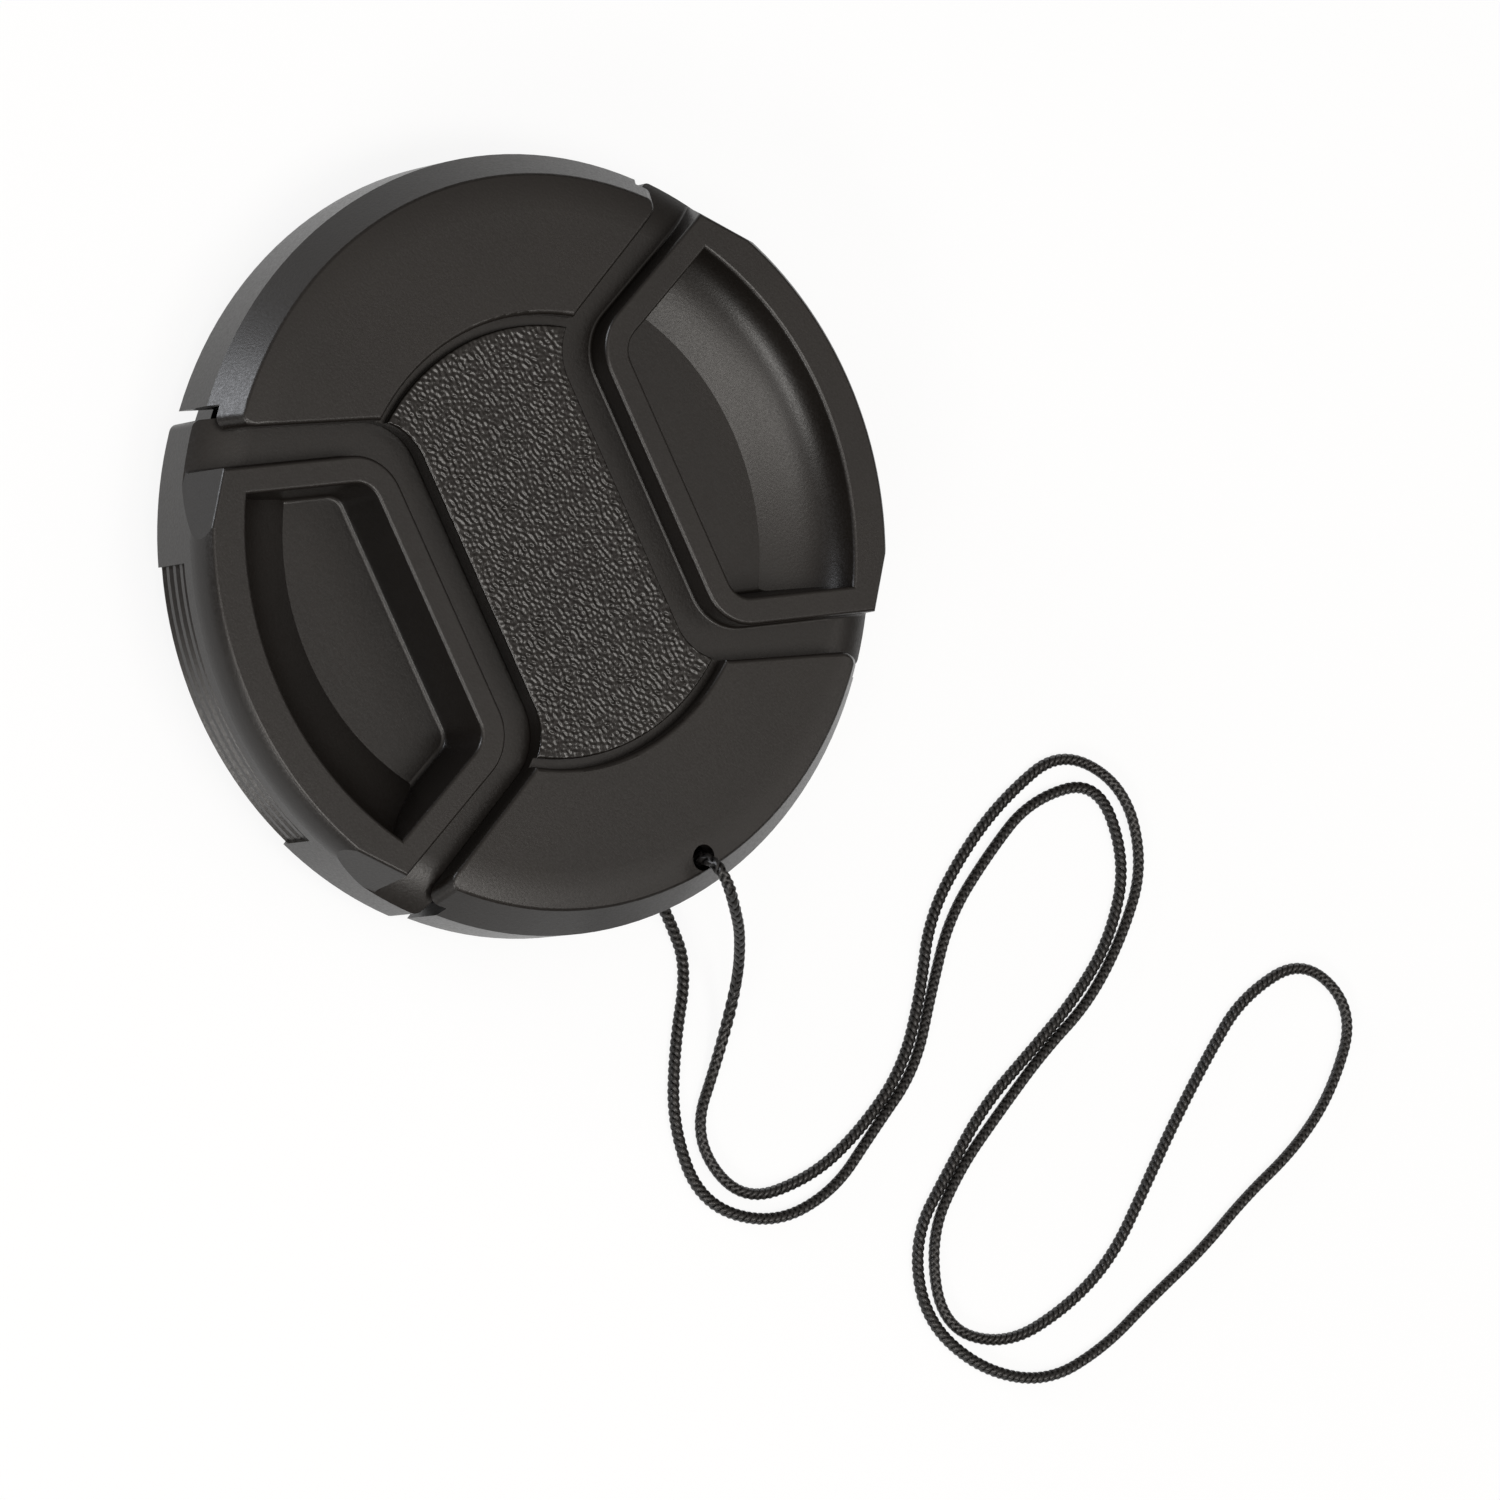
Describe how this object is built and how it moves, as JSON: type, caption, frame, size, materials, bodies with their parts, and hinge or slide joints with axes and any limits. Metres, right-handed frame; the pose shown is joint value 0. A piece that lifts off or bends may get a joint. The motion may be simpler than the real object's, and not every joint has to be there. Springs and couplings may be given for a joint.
{
  "type": "camera lens cap",
  "caption": "Round centre-pinch camera lens cap with sprung finger latches, a grained centre panel and a looped keeper cord.",
  "frame": {"origin": "on the cap's axis, at the end of the rear ring, which is the surface that the cap lies on", "axes": "+Z out of the front face, X along the pinch axis with latch_right at +X, Y from dome to dome with the cord's hole at -Y"},
  "size_m": [0.0894, 0.1148, 0.0126],
  "materials": {
    "cap_plastic": "satin",
    "panel_plastic": "leather grain",
    "spring_steel": "drawn wire",
    "cord_braid": "braided"
  },
  "bodies": {
    "cap": {"front_cover": "cap_plastic", "centre_panel": "panel_plastic", "rear_plate": "cap_plastic", "spring_left": "spring_steel", "spring_right": "spring_steel", "cord": "cord_braid"},
    "latch_left": {"latch_left": "cap_plastic"},
    "latch_right": {"latch_right": "cap_plastic"}
  },
  "joints": [
    {"name": "latch_left_slide", "type": "slide", "parent": "cap", "child": "latch_left", "axis": [1, 0, 0], "range_m": [0, 0.0022], "stiffness_N_per_m": 800, "springref_m": -0.002, "deforming": ["spring_left"]},
    {"name": "latch_right_slide", "type": "slide", "parent": "cap", "child": "latch_right", "axis": [-1, 0, 0], "range_m": [0, 0.0022], "stiffness_N_per_m": 800, "springref_m": -0.002, "deforming": ["spring_right"]}
  ]
}
